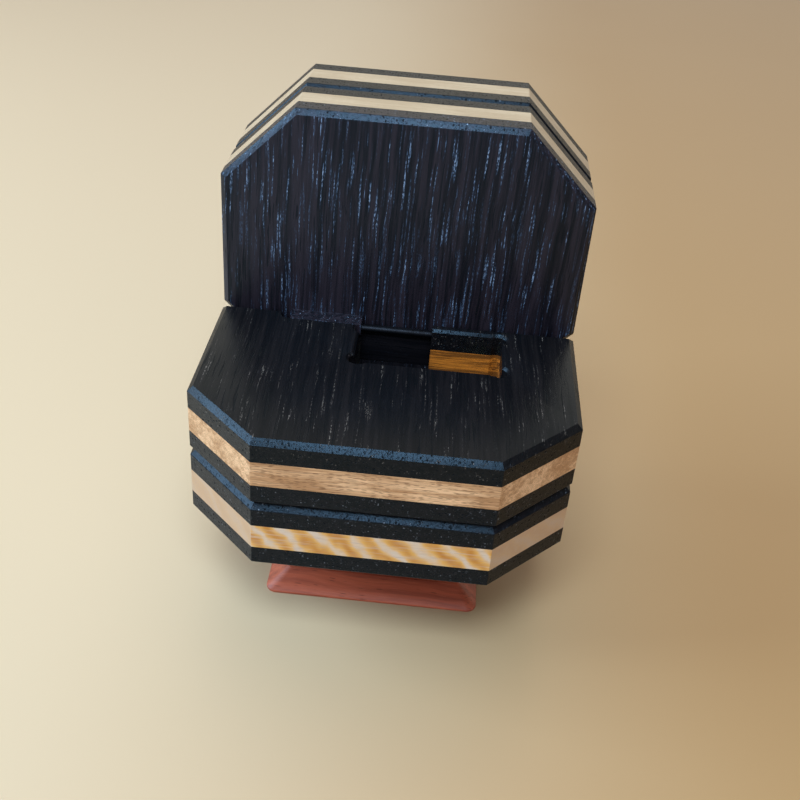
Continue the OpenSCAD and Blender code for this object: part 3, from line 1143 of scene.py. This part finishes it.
@dataclass
class HiddenParts:
    """Magnets, their sliding carrier and the dowels that register the panels."""

    palette: Palette

    def build(self) -> None:
        """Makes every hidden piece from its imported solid."""
        carrier = softened("magnet_carrier", "magnet_carrier_wood", 0.2 * MM)
        dress(carrier, self.palette.beech, "magnet_slider", ["magnet_carrier"])
        for node, body in (("carrier_magnets", "magnet_slider"), ("lid_magnets", "lid")):
            discs = softened(node, node + "_discs", 0.2 * MM)
            dress(discs, self.palette.nickel, body, [node])
        for node, body in (("body_dowels", "box"), ("lid_dowels", "lid")):
            pegs = softened(node, node + "_pegs", 0.3 * MM)
            dress(pegs, self.palette.beech, body, [node])


# ------------------------------------------------------------------ the studio


@dataclass(frozen=True)
class AreaLamp:
    """A soft rectangular light."""

    name: str
    place: Colour
    aim: Colour
    size: tuple[float, float]
    power: float
    tint: Colour = (1.0, 1.0, 1.0)

    def build(self) -> None:
        """Adds the light to the scene."""
        data = bpy.data.lights.new(self.name, "AREA")
        data.shape = "RECTANGLE"
        data.size, data.size_y = self.size
        data.energy = self.power
        data.color = self.tint
        lamp = bpy.data.objects.new(self.name, data)
        lamp.location = self.place
        direction = Vector(self.aim) - Vector(self.place)
        lamp.rotation_euler = direction.to_track_quat("-Z", "Y").to_euler()
        bpy.context.scene.collection.objects.link(lamp)


@dataclass(frozen=True)
class Surround:
    """Dim room light, cool from the front and warm from behind."""

    dim: Colour = (0.11, 0.09, 0.07)
    front: Colour = (0.55, 0.55, 0.58)
    back: Colour = (0.90, 0.84, 0.70)

    def build(self) -> None:
        """Writes the world's node tree."""
        world = bpy.context.scene.world or bpy.data.worlds.new("studio")
        bpy.context.scene.world = world
        g = Graph(world)
        _, y, z = g.split(g.node("ShaderNodeTexCoord", output="Generated"))
        front = y.step(-0.1, -0.7) * z.step(-0.3, 0.15)
        back = y.step(0.2, 0.7) * z.step(-0.1, 0.15) * z.step(0.95, 0.6)
        tone = g.mix(back, g.mix(front, self.dim, self.front), self.back)
        g.end("ShaderNodeOutputWorld", g.node("ShaderNodeBackground", None, {"Color": tone}))


@dataclass
class Studio:
    """Pale floor, soft lights and a dim surround."""

    reach: float = 3.0

    def build(self) -> None:
        """Makes the floor, the lights and the surround."""
        bm = bmesh.new()
        bmesh.ops.create_grid(bm, x_segments=1, y_segments=1, size=self.reach)
        floor = object_from(bm, "studio_floor")
        floor.data.materials.append(PaleFloor().material())
        Surround().build()
        for lamp in (
            AreaLamp("window", (-0.79, -0.04, 0.50), (0, 0, 0.07), (0.48, 0.36), 8.5, (0.58, 0.80, 1.0)),
            AreaLamp("sky", (-0.05, -0.48, 0.93), (0, 0, 0.07), (0.50, 0.42), 10.5, (0.60, 0.82, 1.0)),
            AreaLamp("ceiling", (-0.10, 0.32, 1.05), (0, 0, 0.05), (0.9, 0.7), 2.2, (1.0, 0.66, 0.40)),
        ):
            lamp.build()
        bpy.context.scene.view_settings.view_transform = "Standard"


@dataclass
class Camera:
    """A camera above and in front of the box, turned a little and tilted down.

    The eye is given in box widths from the middle of the hinge line at seat height.
    """

    eye: Colour = (0.1051, -2.6254, 1.5241)
    pitch: float = 55.49
    roll: float = -3.826
    turn: float = 4.382
    lens: float = 48.03

    def build(self) -> None:
        """Makes the camera and puts it in charge of the scene."""
        seat_low, seat_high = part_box("body_top_ply")
        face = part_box("lid_front_core")[0].y - (seat_high.z - seat_low.z)
        width = seat_high.x - seat_low.x
        data = bpy.data.cameras.new("camera")
        data.lens = self.lens
        data.clip_start, data.clip_end = 0.01, 20.0
        camera = bpy.data.objects.new("camera", data)
        camera.location = Vector(self.eye) * width + Vector((0.0, face, seat_high.z))
        angles = [math.radians(a) for a in (self.pitch, self.roll, self.turn)]
        camera.rotation_euler = Euler(angles, "XYZ")
        bpy.context.scene.collection.objects.link(camera)
        bpy.context.scene.camera = camera


def main() -> None:
    """Builds the box piece by piece, then the studio and the camera."""
    logging.basicConfig(level=logging.INFO, format="%(message)s")
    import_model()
    palette = Palette()
    rows = PartRow()

    wenge, seat = palette.body_wenge, palette.seat_wenge
    Slab(
        "box",
        2,
        [
            ("body_bottom_ply", "wenge", wenge),
            ("tray_guide_ply", "golden_ply", palette.flamed),
            ("body_divider_ply", "wenge", wenge),
            ("pocket_floor_ply", "wenge", wenge),
            ("pocket_wall_ply", "flecked_ply", palette.flecked),
            ("body_top_ply", "wenge", seat),
        ],
    ).build()
    Slab(
        "lid",
        1,
        [
            ("lid_face_ply", "wenge", palette.lid_wenge),
            ("lid_front_core", "pale_ply", palette.cream),
            ("lid_front_back_ply", "wenge", palette.back_wenge),
            ("lid_rear_face_ply", "wenge", palette.back_wenge),
            ("lid_rear_core", "pale_ply", palette.cream),
            ("lid_back_ply", "wenge", palette.back_wenge),
        ],
    ).build()
    Foot(palette, rows).build()
    Hinge(palette, rows).build()
    Tray(palette).build()
    Lock(palette).build()
    HiddenParts(palette).build()
    Studio().build()
    Camera().build()


if __name__ == "__main__":
    main()
